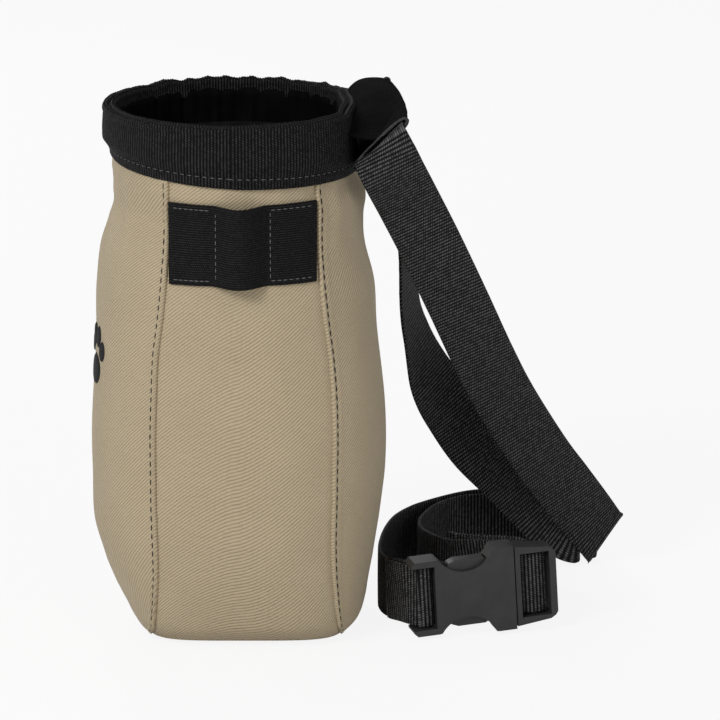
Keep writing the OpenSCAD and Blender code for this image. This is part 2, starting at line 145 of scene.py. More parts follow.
def on_wall(z, angle, out=0.0):
    """The point of the pouch's wall at an angle from +X, moved outwards."""
    half_l, half_w, centre, square, _ = level(z)
    e = 2 / square
    c, s = cos(radians(angle)), sin(radians(angle))
    return Vector(
        ((half_w + out) * signed_power(c, e), centre + (half_l + out) * signed_power(s, e), z)
    )


def wall_x(y, z):
    half_l, half_w, centre, square, _ = level(z)
    return half_w * (1 - (abs(y - centre) / half_l) ** square) ** (1 / square)


def fold(z, side):
    """The angle of the fold between a side panel and the front (-1) or the back (1)."""
    half_l, _, centre, square, side_w = level(z)
    return degrees(asin(((side_w - side * centre) / half_l) ** (square / 2)))


# ---- Meshes ----


def lay(name, nx, ny, place, chart, closed=False, capped=False):
    """A grid of nx by ny faces whose points go to place(i, j), with its UV map in millimetres."""
    bm = bmesh.new()
    bmesh.ops.create_grid(bm, x_segments=nx, y_segments=ny, size=1)
    uv = bm.loops.layers.uv.new("cloth")
    spots = {v: (round((v.co.x + 1) / 2 * nx), round((v.co.y + 1) / 2 * ny)) for v in bm.verts}
    charts = {v: chart(*spot) for v, spot in spots.items()}
    for face in bm.faces:
        face.smooth = True
        for loop in face.loops:
            loop[uv].uv = charts[loop.vert]
    for v, spot in spots.items():
        v.co = place(*spot) * MM
    if closed:
        bmesh.ops.remove_doubles(bm, verts=bm.verts, dist=1e-6)
    if capped:
        bmesh.ops.holes_fill(bm, edges=[e for e in bm.edges if e.is_boundary], sides=0)
    if closed or capped:
        bmesh.ops.recalc_face_normals(bm, faces=bm.faces)
    return to_object(bm, name)


def to_object(bm, name):
    mesh = bpy.data.meshes.new(name)
    bm.to_mesh(mesh)
    bm.free()
    piece = bpy.data.objects.new(name, mesh)
    bpy.context.scene.collection.objects.link(piece)
    return piece


def thicken(piece, thickness, offset=-1):
    solid = piece.modifiers.new("thickness", "SOLIDIFY")
    solid.thickness = thickness * MM
    solid.offset = offset
    solid.use_even_offset = False
    return piece


def finish(piece, material, slot, body, *nodes):
    """Gives a piece its material and its place on a body, and hides the imported parts it stands
    for.
    """
    piece.data.materials.clear()
    piece.data.materials.append(material)
    if nodes:
        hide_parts(*nodes)
    if body:
        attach(piece, body)
    return piece


# ---- Materials ----


class Value:
    """A socket of a material. Arithmetic on it adds Math nodes."""

    def __init__(self, cloth, socket):
        self.cloth, self.socket = cloth, socket

    def math(self, operation, *others):
        values = (self,) + others
        return self.cloth.node("ShaderNodeMath", {"operation": operation}, dict(enumerate(values)))

    def __add__(self, other):
        return self.math("ADD", other)

    __radd__ = __add__

    def __mul__(self, other):
        return self.math("MULTIPLY", other)

    __rmul__ = __mul__

    def __truediv__(self, other):
        return self.math("DIVIDE", other)

    def __pow__(self, other):
        return self.math("POWER", other)

    def fract(self):
        return self.math("FRACT")

    def floor(self):
        return self.math("FLOOR")

    def sin(self):
        return self.math("SINE")

    def fade(self, low, high):
        """0 below low, 1 above high, and smooth between them."""
        return self.cloth.node(
            "ShaderNodeMapRange",
            {"interpolation_type": "SMOOTHSTEP"},
            {"Value": self, "From Min": low, "From Max": high},
        )


class Material:
    """A material and the nodes that feed its shader."""

    def __init__(self, name, **constants):
        self.made = bpy.data.materials.new(name)
        self.made.use_nodes = True
        self.tree = self.made.node_tree
        self.shader = self.tree.nodes["Principled BSDF"]
        for socket, value in constants.items():
            self.shader.inputs[socket.replace("_", " ")].default_value = value

    def node(self, kind, settings, inputs, output=0):
        made = self.tree.nodes.new(kind)
        for key, value in settings.items():
            setattr(made, key, value)
        for key, value in inputs.items():
            self.join(made.inputs[key], value)
        return Value(self, made.outputs[output])

    def join(self, socket, value):
        if isinstance(value, Value):
            self.tree.links.new(value.socket, socket)
        else:
            socket.default_value = value

    def feed(self, socket, value):
        self.join(self.shader.inputs[socket], value)

    def cloth_uv(self):
        """The two directions of the cloth, in millimetres."""
        chart = self.node("ShaderNodeUVMap", {"uv_map": "cloth"}, {})
        split = self.node("ShaderNodeSeparateXYZ", {}, {0: chart})
        return split, Value(self, split.socket.node.outputs[1])

    def chart(self):
        return self.node("ShaderNodeUVMap", {"uv_map": "cloth"}, {})

    def place(self):
        return self.node("ShaderNodeTexCoord", {}, {}, "Object")

    def noise(self, vector, scale, detail=2.0, roughness=0.5):
        return self.node(
            "ShaderNodeTexNoise",
            {},
            {"Vector": vector, "Scale": scale, "Detail": detail, "Roughness": roughness},
        )

    def blend(self, mask, low, high):
        """A colour between two others."""
        return self.node(
            "ShaderNodeMix",
            {"data_type": "RGBA"},
            {0: mask, 6: colour(low), 7: colour(high)},
            2,
        )

    def bump(self, height, distance, strength=1.0):
        self.feed(
            "Normal",
            self.node(
                "ShaderNodeBump",
                {},
                {"Strength": strength, "Distance": distance * MM, "Height": height},
            ),
        )


def colour(value):
    return value if isinstance(value, Value) else (*value, 1.0)


def grey(v):
    return (v, v, v * 1.02)


def woven(along, across, row, cell):
    """Rows of raised floats: how high the yarn stands, and which float it is."""
    rows = along / row
    shifted = (across + along * 0.4) / cell
    tall = (rows.fract() * pi).sin().math("MAXIMUM", 0.0)
    wide = (shifted.fract() * pi).sin().math("MAXIMUM", 0.0) ** 0.7
    return tall * (wide * 0.5 + 0.5), rows.floor() * 7.31 + shifted.floor() * 3.17


def twill_cloth():
    cloth = Material("khaki_twill", Roughness=0.88, Specular_IOR_Level=0.25, Sheen_Weight=0.15)
    u, v = cloth.cloth_uv()
    lines = (u * -0.62 + v * 0.78) / 1.15
    along = (u * 0.78 + v * 0.62) / 1.6 + lines.floor() * 0.37
    ridge = (lines.fract() * pi).sin() ** 0.8
    yarn = (along.fract() * pi).sin() ** 0.5
    height = ridge * (yarn * 0.3 + 0.7)
    chart = cloth.chart()
    patch = cloth.noise(chart, 0.035, 3.0)
    fleck = cloth.noise(chart, 0.9, 2.0)
    slub = cloth.noise(
        cloth.node("ShaderNodeMapping", {}, {"Vector": chart, "Scale": (0.12, 1.6, 1.0)}), 1.0, 2.0
    )
    # The twill's ridge tops are painted lighter and its grooves darker, which is painted shade in
    # the grooves; the flecks and slubs are the yarn's own tone.
    shade = height * 0.5 + fleck * 0.3 + slub * 0.2
    weave_and_groove_shade = cloth.blend(shade.fade(0.28, 0.72), (0.305, 0.240, 0.152), (0.570, 0.468, 0.314))
    worn = cloth.blend(patch.fade(0.35, 0.7), (0.420, 0.339, 0.222), (0.485, 0.396, 0.266))
    mixed = cloth.node("ShaderNodeMix", {"data_type": "RGBA"}, {0: 0.3, 6: weave_and_groove_shade, 7: worn}, 2)
    cloth.feed("Base Color", mixed)
    cloth.bump(height + fleck * 0.25, 0.24, 0.8)
    return cloth.made


def webbing(name, row, cell, low, high, roughness, depth, turned=False, gloss=0.22):
    """Ribbed webbing. Its rows run across the strip, or along it where it is turned."""
    cloth = Material(name, Specular_IOR_Level=gloss)
    u, v = cloth.cloth_uv()
    height, number = woven(*((u, v) if turned else (v, u)), row, cell)
    painted_float_glint = cloth.node("ShaderNodeTexWhiteNoise", {"noise_dimensions": "1D"}, {"W": number})
    fuzz = cloth.noise(cloth.chart(), 2.6, 2.0)
    # Raised floats are painted lighter than the near-black gaps between them: painted highlight on
    # the floats and painted shade between them, each float's painted highlight a little brighter or
    # duller at random.
    shade = height * (painted_float_glint * 0.3 + 0.8)
    cloth.feed("Base Color", cloth.blend(shade.fade(0.45, 1.0), low, high))
    cloth.feed("Roughness", fuzz * 0.16 + roughness)
    cloth.bump(height + fuzz * 0.2, depth)
    return cloth.made


def nylon(name, low, high, roughness):
    cloth = Material(name, Specular_IOR_Level=0.05)
    u, v = cloth.cloth_uv()
    warp = (u * (2 * pi / 0.6)).sin()
    weft = (v * (2 * pi / 0.6)).sin()
    cloud = cloth.noise(cloth.chart(), 0.09, 4.0)
    cloth.feed("Base Color", cloth.blend(cloud.fade(0.3, 0.75), low, high))
    cloth.feed("Roughness", cloud * 0.2 + roughness)
    cloth.bump(warp * weft * 0.12 + cloud, 0.35)
    return cloth.made


def thread(name, low, high):
    cloth = Material(name, Roughness=0.7, Specular_IOR_Level=0.3)
    ply = cloth.noise(cloth.place(), 900.0, 1.0)
    cloth.feed("Base Color", cloth.blend(ply, low, high))
    cloth.bump(ply, 0.1)
    return cloth.made


def satin_plastic():
    body = Material("charcoal_plastic", Specular_IOR_Level=0.5)
    grain = body.noise(body.place(), 2600.0, 3.0)
    scuff = body.noise(body.place(), 90.0, 5.0, 0.65)
    body.feed("Base Color", body.blend(scuff.fade(0.35, 0.75), grey(0.024), grey(0.034)))
    body.feed("Roughness", scuff * 0.18 + 0.34)
    body.bump(grain, 0.03, 0.6)
    return body.made


TWILL = twill_cloth()
# The high grey of each webbing below is the painted highlight on its raised floats.
BELT = webbing("belt_webbing", 1.45, 1.0, grey(0.001), grey(0.11), 0.55, 0.4)
RIM = webbing("rim_webbing", 1.3, 1.0, grey(0.001), grey(0.040), 0.6, 0.4, gloss=0.14)
LOOP = webbing(
    "loop_webbing", 0.9, 0.8, grey(0.003), grey(0.026), 0.72, 0.2, turned=True, gloss=0.14
)
SLEEVE = webbing("sleeve_cloth", 0.9, 0.9, grey(0.001), grey(0.006), 0.8, 0.22, gloss=0.06)
# The hem is a lighter grey than the sleeve: painted highlight where its rolled edge catches light.
HEM_HIGHLIGHT = webbing("hem_painted_highlight", 0.7, 0.7, grey(0.03), grey(0.12), 0.7, 0.15)
FACING = nylon("facing_nylon", grey(0.001), grey(0.003), 0.6)
LINING = nylon("lining_nylon", grey(0.003), grey(0.012), 0.5)
BLACK_THREAD = thread("black_thread", grey(0.008), grey(0.02))
GREY_THREAD = thread("grey_thread", grey(0.08), grey(0.22))
PLASTIC = satin_plastic()


# ---- Stitches ----


def stitches(name, material, slot, body, places, length=2.5, width=0.5, height=0.35):
    """Short threads, each at a place with its heading and the way out of the cloth."""
    seed = bmesh.new()
    bmesh.ops.create_uvsphere(seed, u_segments=6, v_segments=5, radius=0.5)
    for face in seed.faces:
        face.smooth = True
    one = bpy.data.meshes.new("stitch")
    bmesh.ops.rotate(seed, verts=seed.verts, matrix=Matrix.Rotation(radians(90), 3, "Y"))
    seed.to_mesh(one)
    seed.free()
    bm = bmesh.new()
    for at, heading, out in places:
        x = heading.normalized()
        z = (out - x * out.dot(x)).normalized()
        y = z.cross(x)
        turn = Matrix((x * length, y * width, z * height)).transposed().to_4x4()
        start = len(bm.verts)
        bm.from_mesh(one)
        bm.verts.ensure_lookup_table()
        fresh = bm.verts[start:]
        placed = Matrix.Translation(at * MM) @ Matrix.Scale(MM, 4) @ turn
        bmesh.ops.transform(bm, matrix=placed, verts=fresh)
    bpy.data.meshes.remove(one)
    return finish(to_object(bm, name), material, slot, body)


# ---- The canvas panels ----

PANEL_TOP = 205
# How far the sleeve presses the rim in, and the band's stitching draws the mouth in
PRESSED_IN, DRAWN_IN = 4.3, 2.7


def flattened(angle, z):
    """How far the belt's sleeve presses the back of the rim in, along Y."""
    return -PRESSED_IN * ease(0.84, 1.0, sin(radians(angle))) * ease(189, 199, z)


def band_climb(angle):
    """How much higher the band's lower edge is, up to the front and down to the back."""
    s = sin(radians(angle))
    return 1.1 + 3.4 * max(0.0, -s) - 1.9 * max(0.0, s)


def band_pull(angle, z):
    """How far the mouth is drawn in under the band's stitching, most at the front and back."""
    facing = abs(sin(radians(angle)))
    low = BAND_Z + band_climb(angle)
    drawn = -DRAWN_IN * facing**2 * (1 - ease(low, low + 12, z)) * ease(176, 186, z)
    return drawn - 1.1 * ease(low - 0.5, low + 1.5, z)


def crease(p, angle, z):
    """Soft hollows and swells of the canvas, in millimetres outwards."""
    # The sides draw in towards the foot, and the back hangs flatter than the front
    front = max(0.0, -sin(radians(angle)))
    back = max(0.0, sin(radians(angle)))
    foot = ease(0, 7, z) * (1 - ease(6, 75, z))
    flat = ease(90, 130, z) * (1 - ease(160, 185, z))
    drawn = -(3.0 * front + 1.7 * back) * foot - 0.6 * back**2 * flat
    neck = -0.8 * front**2 * ease(150, 170, z) * (1 - ease(180, 188, z))
    broad = 1.3 * wobble(p.x / 45, p.y / 45, z / 60, 1) * ease(0, 25, z)
    small = 0.35 * wobble(p.x / 14, p.y / 14, z / 22, 2)
    gather = ease(150, 186, z) * 0.7 * wobble(angle / 7, z / 60, 0, 3)
    soft = (broad + small) * (1 - ease(160, 186, z))
    return soft + gather + band_pull(angle, z) + drawn + neck


def wall_out(z, angle, out):
    """A point of the creased wall, moved outwards."""
    p = on_wall(z, angle)
    moved = on_wall(z, angle, out + crease(p, angle, z))
    moved.y += flattened(angle, z)
    return moved


def spread(n, fine, depth):
    """n + 1 shares from 0 to 1 with `fine` of them crowded into `depth` at each end."""
    ends = [depth * i / fine for i in range(fine)]
    middle = [mix(depth, 1 - depth, i / (n - 2 * fine)) for i in range(n - 2 * fine + 1)]
    return ends + middle + [1 - e for e in reversed(ends)]


# How far a seam's stitches are from its edge, from one another and out of the cloth
SEAM_IN = 2.3
STITCH_PITCH = 3.7
STITCH_OUT = 0.5


def make_panel(name, start, end, lapped):
    """A panel between two folds. A lapped one has its edges turned over onto its neighbour."""
    nx, ny = 92, 190
    shares = spread(nx, 12, 0.09)

    def spot(i, j):
        z = PANEL_TOP * j / ny
        a, b = start(z), end(z)
        angle = mix(a, b, shares[i])
        width = abs(b - a) * pi / 180 * level(z)[0]
        return z, angle, min(shares[i], 1 - shares[i]) * width, width

    def place(i, j):
        z, angle, inside, _ = spot(i, j)
        pucker = 0.5 + 0.5 * cos(2 * pi * z / STITCH_PITCH)
        if lapped:
            roll = 0.75 * exp(-(((inside - 1.1) / 0.9) ** 2))
            sunk = -0.3 * exp(-(((inside - SEAM_IN) / 0.45) ** 2))
            swell = 0.35 * exp(-(((inside - 4.2) / 1.5) ** 2)) * (0.5 + 0.5 * pucker)
            turned = -0.9 * (1 - ease(0, 0.5, inside))
            out = 0.35 + roll + sunk * (0.6 + 0.6 * pucker) + swell + turned
        else:
            tucked = -0.25 - 0.25 * exp(-((inside / 2.2) ** 2))
            out = tucked + 0.18 * pucker * exp(-(((inside - 2.5) / 2.0) ** 2))
        foot = -0.5 * (1 - ease(0, 1.5, z)) ** 2
        return wall_out(z, angle, out + foot)

    def chart(i, j):
        z, _, _, width = spot(i, j)
        return (shares[i] - 0.5) * width, z

    piece = lay(name, nx, ny, place, chart)
    return thicken(piece, CANVAS_T, -1)


PANELS = {
    "front_panel": (lambda z: 180 + fold(z, -1), lambda z: 360 - fold(z, -1), True),
    "back_panel": (lambda z: fold(z, 1), lambda z: 180 - fold(z, 1), True),
    "right_side_panel": (lambda z: -fold(z, -1), lambda z: fold(z, 1), False),
    "left_side_panel": (lambda z: 180 - fold(z, 1), lambda z: 180 + fold(z, -1), False),
}
LAP = 0.25
for node, (start, end, lapped) in PANELS.items():
    reach = LAP if lapped else LAP / 2
    panel = make_panel(
        node + "_canvas",
        lambda z, f=start, r=reach: f(z) - r,
        lambda z, f=end, r=reach: f(z) + r,
        lapped,
    )
    finish(panel, TWILL, "canvas", "pouch", node)

seam_places = []
for turn, side, way in ((0, -1, -1), (0, 1, 1), (180, 1, -1), (180, -1, 1)):
    z = 3.0
    while z < BAND_Z + 2:
        edge = turn + way * fold(z, side)
        half_l = level(z)[0]
        beside_edge = way * degrees((SEAM_IN + 0.35) / half_l) * 0.82
        angle = edge + beside_edge
        higher = z + 1.0
        at = wall_out(z, angle, STITCH_OUT)
        edge_up = turn + way * fold(higher, side)
        ahead = wall_out(higher, edge_up + beside_edge, STITCH_OUT)
        out = wall_out(z, angle, 5) - at
        seam_places.append((at, ahead - at, out))
        z += STITCH_PITCH
stitches("seam_stitches", BLACK_THREAD, "canvas", "pouch", seam_places, 2.6, 0.62, 0.42)


# ---- The paw embroidered on the front ----

PAW_AT = (12, 112)
# Each pad's middle from the paw's, across and up, and its half width and half height
PADS = [
    (0, -4, 7.5, 6),
    (-8.6, 4.6, 2.9, 4),
    (-3.2, 9.4, 3, 4.4),
    (3.2, 9.4, 3, 4.4),
    (8.6, 4.6, 2.9, 4),
]


def make_pad(number, pad):
    across, up, half_w, half_h = pad
    around, rings = 40, 8

    def place(i, j):
        a, r = 2 * pi * i / around, j / rings
        u, z = PAW_AT[0] + across + half_w * r * cos(a), PAW_AT[1] + up + half_h * r * sin(a)
        angle = 270 + degrees(u / level(z)[1])
        return wall_out(z, angle, 0.45 + 0.75 * (1 - r**4) ** 0.5)

    def chart(i, j):
        a, r = 2 * pi * i / around, j / rings
        return half_w * r * cos(a), half_h * r * sin(a)

    return lay(f"paw_pad_{number}", around, rings, place, chart, closed=True)


for number, pad in enumerate(PADS):
    finish(make_pad(number, pad), BLACK_THREAD, "canvas", "pouch")


# ---- The base ----


def base_sheet():
    rings, around = 10, 96

    def place(i, j):
        p = on_wall(0.6, 360 * i / around, -0.8)
        share = j / rings
        return Vector((p.x * share, p.y * share, 0.15 + 0.5 * (1 - share)))

    def chart(i, j):
        p = place(i, j)
        return p.x, p.y

    return lay("base_canvas", around, rings, place, chart, closed=True)


finish(thicken(base_sheet(), 1.0, 1), TWILL, "canvas", "pouch", "base_panel")


# ---- The rim ----


def rim_gather(angle):
    """Bumps in the rim, small all round and larger along its far (-X) side."""
    far = ease(0.2, 0.9, -cos(radians(angle + 8)))
    return (
        0.5 * wobble(angle / 11, 0, 0, 5)
        + far * (1.5 * wobble(angle / 6.5, 1, 0, 6) + 0.9 * wobble(angle / 3.1, 2, 0, 7))
    )


RIM_PROFILE = [
    (-2.1, 188.2), (-0.9, 187.6), (0, 188.2), (0, 190), (0.05, 191.2), (-0.3, 191.8), (0.1, 192.5),
    (0.35, 194.5), (0.5, 197), (0.5, 200), (0.4, 203), (0.2, 206), (0.0, 208.5), (-0.15, 209.7),
    (0.05, 210.5), (0.15, 211.4), (-0.15, 212.4), (-0.9, 212.9), (-1.7, 212.6), (-2.1, 211.8),
    (-2.5, 211.3), (-2.9, 211.8), (-3.3, 212.7), (-4.1, 213.0), (-4.9, 212.5), (-5.2, 211.5),
    (-5.1, 210.2), (-5.2, 208.5), (-5.3, 206),
]


def rim_point(angle, radius, z):
    top = ease(200, 212, z)
    lift = rim_gather(angle) * top * 0.75
    pull = -DRAWN_IN * abs(sin(radians(angle))) ** 2 * (1 - ease(BAND_Z, 199, z))
    swell = 0.45 * wobble(angle / 20, z / 12, 0, 8) + 0.25 * wobble(angle / 5, z / 9, 0, 9)
    r = MOUTH_R + radius + pull + swell * (1 - 0.5 * top) + rim_gather(angle) * 0.2 * top
    a = radians(angle)
    # The band's lower edge climbs towards the front, and the far side of the rim sits lower
    climb = band_climb(angle) * (1 - ease(190, 205, z))
    sag = -0.9 * ease(0.1, 0.8, -cos(a)) * top
    y = -MOUTH_SHIFT + r * sin(a) + flattened(angle, z)
    return Vector((r * cos(a), y, z + lift + climb + sag))


def make_rim():
    around = 360
    fine = 3
    steps = (len(RIM_PROFILE) - 1) * fine
    profile = [curve(RIM_PROFILE, j / fine) for j in range(steps + 1)]
    runs = [0.0]
    for a, b in zip(profile, profile[1:]):
        runs.append(runs[-1] + hypot(b[0] - a[0], b[1] - a[1]))

    def place(i, j):
        radius, z = profile[j]
        return rim_point(360 * i / around, radius, z)

    def chart(i, j):
        return runs[j], 2 * pi * MOUTH_R * i / around

    return lay("rim_webbing_band", around, steps, place, chart, closed=True)


rim = make_rim()
finish(rim, RIM, "webbing", "pouch", "rim_band", "rim_hoop")

RIM_STITCH_Z, RIM_STITCH_PITCH = 191.85, 3.1
rim_places = []
angle = 0.0
while angle < 360:
    at = rim_point(angle, 0.12, RIM_STITCH_Z)
    ahead = rim_point(angle + 1, 0.12, RIM_STITCH_Z)
    outward = Vector((cos(radians(angle)), sin(radians(angle)), 0))
    rim_places.append((at, ahead - at, outward))
    angle += degrees(RIM_STITCH_PITCH / MOUTH_R)
stitches("rim_stitches", GREY_THREAD, "webbing", "pouch", rim_places, 1.9, 0.3, 0.25)


def piping(name, radius, z, thickness):
    """A row of small loops along the top of the rim, where the webbing's edge shows."""
    places = []
    count = 300
    for i in range(count):
        angle = 360 * i / count
        at = rim_point(angle, radius, z)
        ahead = rim_point(angle + 1, radius, z)
        outward = Vector((cos(radians(angle)) * 0.4, sin(radians(angle)) * 0.4, 1))
        lean = (ahead - at).normalized() + Vector((0, 0, 0.55 if i % 2 else 0.25))
        places.append((at, lean, outward))
    return stitches(name, RIM, "webbing", "pouch", places, 1.25, thickness, 0.5)


piping("rim_outer_loops", -0.75, 212.75, 0.95)
piping("rim_inner_loops", -4.1, 212.95, 1.2)


# ---- The inside ----


def pleat(angle, z, seed):
    return wobble(angle / 4.2, z / 40, 0, seed) + 0.5 * wobble(angle / 1.9, z / 25, 1, seed + 1)


def make_facing():
    around, down = 420, 40
    top, foot, radius = 208.5, 189.5, 46.9

    def place(i, j):
        angle = 360 * i / around
        z = mix(top, foot, j / down)
        deep = ease(0, 0.15, j / down)
        r = radius - deep * (0.6 + 1.1 * pleat(angle, z, 11)) - 1.2 * ease(0.8, 1, j / down)
        a = radians(angle)
        return Vector((r * cos(a), -MOUTH_SHIFT + r * sin(a) + flattened(angle, z), z))

    def chart(i, j):
        return 2 * pi * 46 * i / around, 20 * j / down

    return lay("rim_facing_cloth", around, down, place, chart, closed=True)


finish(thicken(make_facing(), 0.4, 1), FACING, "lining", "pouch", "rim_facing")


def make_lining():
    """The lining's sides, and then its floor, which is the last part of the way down."""
    around, down = 240, 150
    top, ground, sides = 195, 6, 0.85

    def place(i, j):
        angle = 360 * i / around
        share = j / down
        z = mix(top, ground, min(1, share / sides))
        inset = 4.6 + 1.6 * ease(6, 30, z)
        p = on_wall(max(z, 3), angle, -inset)
        broad = 2.2 * wobble(p.x / 16, p.y / 16, z / 16, 13)
        fold_in = broad + 1.2 * wobble(p.x / 6, p.y / 6, z / 8, 14)
        loose = 1 - ease(186, 195, z)
        slack = (2.6 + 1.6 * fold_in) * loose
        p = on_wall(max(z, 3), angle, -inset - slack * ease(6, 40, z))
        if share > sides:
            k = 1 - (share - sides) / (1 - sides)
            crumple = 0.8 * wobble(p.x * k / 12, p.y * k / 12, 0, 15)
            return Vector((p.x * k, p.y * k, ground + crumple))
        return Vector((p.x, p.y, z))

    def chart(i, j):
        return 2 * pi * 46 * i / around, 240 * j / down

    return lay("lining_cloth", around, down, place, chart, closed=True)


finish(thicken(make_lining(), 0.4, 1), LINING, "lining", "pouch", "lining", "base_board")


# ---- The utility loop ----

LOOP_Y, LOOP_Z, LOOP_W, LOOP_FREE, LOOP_RISE, LOOP_HALF = -1, 166, 32, 22, 7, 28.8


def loop_lift(y):
    u = abs(y - LOOP_Y) / (LOOP_FREE / 2)
    return LOOP_RISE * max(0.0, cos(pi / 2 * u)) ** 1.3 if u < 1 else 0.0


def loop_point(y, z, out=0.0):
    sewn = ease(LOOP_FREE / 2, LOOP_FREE / 2 + 2, abs(y - LOOP_Y))
    soft = 0.25 * wobble(y / 7, z / 9, 0, 21) * sewn
    return Vector((wall_x(y, z) + 0.7 + loop_lift(y) + soft + out, y, z))


def make_loop():
    nx, ny = 110, 34
    runs = [0.0]
    for i in range(nx):
        a = loop_point(mix(-LOOP_HALF, LOOP_HALF, i / nx), LOOP_Z)
        b = loop_point(mix(-LOOP_HALF, LOOP_HALF, (i + 1) / nx), LOOP_Z)
        runs.append(runs[-1] + (b - a).length)

    def place(i, j):
        y = mix(-LOOP_HALF, LOOP_HALF, i / nx)
        edge = min(j, ny - j) / ny * LOOP_W
        z = LOOP_Z + LOOP_W * (j / ny - 0.5)
        return loop_point(y, z, 0.6 - 0.35 * (1 - ease(0, 1.2, edge)))

    return lay("utility_loop_webbing", nx, ny, place, lambda i, j: (j / ny * LOOP_W, runs[i]))


finish(thicken(make_loop(), 1.2, -1), LOOP, "webbing", "pouch", "utility_loop")

loop_places = []
for side in (-1, 1):
    near, far = LOOP_Y + side * (LOOP_FREE / 2 + 0.8), side * (LOOP_HALF - 1.6)
    outward = Vector((1, 0, 0))
    for z in (LOOP_Z - LOOP_W / 2 + 2.0, LOOP_Z + LOOP_W / 2 - 2.0):
        for i in range(7):
            y = mix(near, far, (i + 0.5) / 7)
            at = loop_point(y, z, 0.62)
            loop_places.append((at, loop_point(y + 0.5, z, 0.62) - at, outward))
    # The column at -Y is sewn a little way into the free middle
    column = near if side > 0 else near + 2.4
    for i in range(10):
        z = mix(LOOP_Z - LOOP_W / 2 + 2.5, LOOP_Z + LOOP_W / 2 - 2.5, (i + 0.5) / 10)
        loop_places.append((loop_point(column, z, 0.62), Vector((0, 0, 1)), outward))
stitches("loop_stitches", GREY_THREAD, "webbing", "pouch", loop_places, 1.9, 0.36, 0.3)


# ---- The belt's route ----

BELT_W, BELT_T, RUN_GAP = 25, 1.4, 0.35
SLEEVE_HALF = 25
SLOT_W, SLOT_T, SLEEVE_T = 27, 2.4, 0.9
SLEEVE_W, SLEEVE_THICK = SLOT_W + 2 * SLEEVE_T, SLOT_T + 2 * SLEEVE_T
FLOOR_Z = 12.6


def lean(x):
    return radians(mix(26, 45, (x + SLEEVE_HALF) / (2 * SLEEVE_HALF)))


def belt_across(x):
    return Vector((0, sin(lean(x)), cos(lean(x))))


def belt_out(x):
    return Vector((0, cos(lean(x)), -sin(lean(x))))


def belt_middle(x):
    edge = Vector((x, sqrt((MOUTH_R + RUN_GAP) ** 2 - x * x) - MOUTH_SHIFT, POUCH_H - 20))
    return edge + belt_across(x) * SLEEVE_W / 2 + belt_out(x) * SLEEVE_THICK / 2


EXIT_RIGHT, EXIT_LEFT = belt_middle(SLEEVE_HALF), belt_middle(-SLEEVE_HALF)
DROP_RIGHT = (EXIT_RIGHT.z - FLOOR_Z) / 188
DROP_LEFT = (EXIT_LEFT.z - FLOOR_Z) / 191.5
RIGHT_ACROSS, LEFT_ACROSS = belt_across(SLEEVE_HALF), belt_across(-SLEEVE_HALF)


def hung(p, drop):
    return [p[0], p[1], FLOOR_Z + p[2] * drop, *p[3:6], 0]


def beside(at, p):
    return [at.x + p[0], at.y + p[1], at.z + p[2], *p[3:6], 0]


def on_floor(p):
    return [p[0], p[1], FLOOR_Z, 0, 0, 1, 0]


def rising(p, bar):
    """A stop that has risen the share p[2] of the way to a bar of the buckle."""
    return [mix(a, b, p[2]) for a, b in zip(on_floor(p), [p[0], p[1], *bar[2:]])]


BUCKLE_H, BAR_D = 35, 2.6
MID_Z = BUCKLE_H / 2
BUCKLE_AT = Vector((25.1, 66.5, 0))
BUCKLE_TURN = radians(104)
# The socket's narrow end and its mouth both rest on the floor, which tips the buckle
SOCKET_STEP, REST_SPAN, MOUTH_FROM = 2, 34, 35.5
BUCKLE_TIP = atan(SOCKET_STEP / REST_SPAN)
BUCKLE_LIFT = 0.1 - MOUTH_FROM * sin(BUCKLE_TIP)
MIDDLE_BAR = 50.6
BAR_AT = 5


def in_buckle(x, y, z):
    """A place given along, behind and up the buckle."""
    run = x * cos(BUCKLE_TIP) - z * sin(BUCKLE_TIP)
    up = x * sin(BUCKLE_TIP) + z * cos(BUCKLE_TIP) + BUCKLE_LIFT
    return Vector(
        (
            BUCKLE_AT.x + run * cos(BUCKLE_TURN) - y * sin(BUCKLE_TURN),
            BUCKLE_AT.y + run * sin(BUCKLE_TURN) + y * cos(BUCKLE_TURN),
            up,
        )
    )


def at_buckle(x, y):
    slant = -sin(BUCKLE_TIP)
    return [
        *in_buckle(x, y, MID_Z),
        slant * cos(BUCKLE_TURN),
        slant * sin(BUCKLE_TURN),
        cos(BUCKLE_TIP),
        0,
    ]


def round_bar(x, y, heading, slack=0.0):
    """A stop on the webbing's turn round a bar. Slack webbing stands off it along the buckle."""
    r = (BAR_D + BELT_T) / 2 + RUN_GAP
    turned = radians(heading) - BUCKLE_TURN
    return at_buckle(x + (r + slack) * cos(turned), y + r * sin(turned))


SOCKET_BAR, PLUG_BAR = at_buckle(BAR_AT, 0), at_buckle(MIDDLE_BAR, 0.6)

FRONT_TOP = [
    [RUN_GAP, 0, 0, *RIGHT_ACROSS], [2, 0, 0, *RIGHT_ACROSS], [4, 0, 0, *RIGHT_ACROSS],
    [6.4, 2.2, -4.5, 0, 0.76, 0.65], [4.2, 5.6, -12, 0, 0.84, 0.54],
]
FRONT_HANG = [
    [20, 65, 163, 0, 0.89, 0.45], [10, 73.5, 144, 0, 0.89, 0.45], [-2, 85, 117, 0, 0.89, 0.45],
    [-15, 95.6, 91, 0, 0.87, 0.49], [-27, 105, 70, 0, 0.85, 0.52], [-42, 119, 44, 0, 0.77, 0.64],
    [-52, 129, 28, 0.02, 0.74, 0.67],
]
FOLD_AT, FOLD_R = Vector((-68.6, 146.6, 13.4)), 2.4
FOLD_CREASE = Vector((0.383, 0.453, 0.804)).normalized()
FOLD_IN = Vector((-0.289, 0.882, -0.364)).normalized()
FOLD_OUT = Vector((-0.878, -0.092, 0.47)).normalized()


def fold_stop(a):
    """A stop on the fold at the foot of the front strip, a degrees round its turn."""
    turned = FOLD_IN * sin(radians(a)) + FOLD_OUT * (1 - cos(radians(a)))
    return [*(FOLD_AT + FOLD_R * turned - FOLD_CREASE * FOLD_R * a / 100), *FOLD_CREASE, 1]


